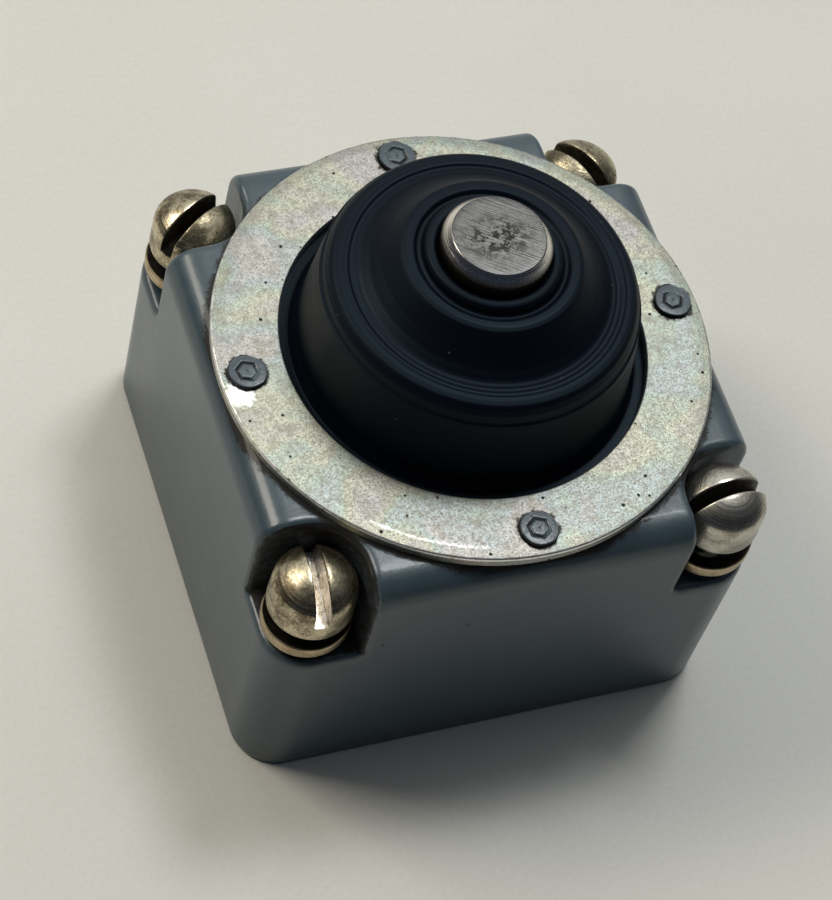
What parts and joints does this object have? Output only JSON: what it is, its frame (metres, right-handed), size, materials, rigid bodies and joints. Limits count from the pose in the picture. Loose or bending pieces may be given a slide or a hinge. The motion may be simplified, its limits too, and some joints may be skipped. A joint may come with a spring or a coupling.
{
  "type": "plunger switch operating head",
  "caption": "Booted plunger operating head for an industrial switch: square die-cast body, sprung steel plunger in a rubber boot under a staked ring, captive corner screws.",
  "frame": {"origin": "centre of the base face, on the surface the head stands or mounts on", "axes": "+Z along the plunger, out of its tip; +X and +Y square to the head's side faces"},
  "size_m": [0.0382, 0.0382, 0.0378],
  "materials": {
    "housing_paint": "semi-gloss grey-green enamel on zinc die casting",
    "ring_zinc": "zinc plate with pale iridescent chromate",
    "boot_rubber": "moulded satin rubber, blue-black",
    "plunger_steel": "ground end face, turned chamfer",
    "bushing_bronze": "sintered bronze, oiled",
    "seal_rubber": "smooth black nitrile",
    "spring_steel": "drawn music wire",
    "clip_steel": "phosphated, oiled",
    "plate_zinc": "bright zinc plate",
    "guide_brass": "turned brass",
    "screw_zinc": "yellow-tinted zinc plate, worn",
    "washer_zinc": "yellow-tinted zinc plate",
    "gasket_rubber": "flat die-cut rubber"
  },
  "bodies": {
    "housing": {"housing": "housing_paint", "boot_retaining_ring": "ring_zinc", "boot": "boot_rubber", "plunger_bushing": "bushing_bronze", "plunger_seal": "seal_rubber", "seal_retainer": "plate_zinc", "return_spring": "spring_steel", "spring_plate": "plate_zinc", "plate_screws": "plate_zinc", "base_gasket": "gasket_rubber", "lock_washer_front_left": "washer_zinc", "lock_washer_front_right": "washer_zinc", "lock_washer_back_left": "washer_zinc", "lock_washer_back_right": "washer_zinc"},
    "plunger": {"plunger": "plunger_steel", "retaining_clip": "clip_steel", "spring_seat": "plate_zinc", "pin_guide_bush": "guide_brass", "overtravel_spring": "spring_steel"},
    "actuating_pin": {"actuating_pin": "plunger_steel"},
    "captive_screw_front_left": {"captive_screw_front_left": "screw_zinc"},
    "captive_screw_front_right": {"captive_screw_front_right": "screw_zinc"},
    "captive_screw_back_left": {"captive_screw_back_left": "screw_zinc"},
    "captive_screw_back_right": {"captive_screw_back_right": "screw_zinc"}
  },
  "joints": [
    {"name": "plunger_travel", "type": "slide", "parent": "housing", "child": "plunger", "axis": [0, 0, -1], "range_m": [0, 0.0055], "stiffness_N_per_m": 1800, "springref_m": -0.0046, "deforming": ["boot", "return_spring"]},
    {"name": "pin_overtravel", "type": "slide", "parent": "plunger", "child": "actuating_pin", "axis": [0, 0, 1], "range_m": [0, 0.003], "stiffness_N_per_m": 1700, "springref_m": -0.003, "deforming": ["overtravel_spring"]},
    {"name": "screw_float_front_left", "type": "slide", "parent": "housing", "child": "captive_screw_front_left", "axis": [0, 0, 1], "range_m": [-0.0009, 0.0019]},
    {"name": "screw_float_front_right", "type": "slide", "parent": "housing", "child": "captive_screw_front_right", "axis": [0, 0, 1], "range_m": [-0.0016, 0.0012]},
    {"name": "screw_float_back_left", "type": "slide", "parent": "housing", "child": "captive_screw_back_left", "axis": [0, 0, 1], "range_m": [-0.0009, 0.0019]},
    {"name": "screw_float_back_right", "type": "slide", "parent": "housing", "child": "captive_screw_back_right", "axis": [0, 0, 1], "range_m": [-0.0001, 0.0027]}
  ]
}
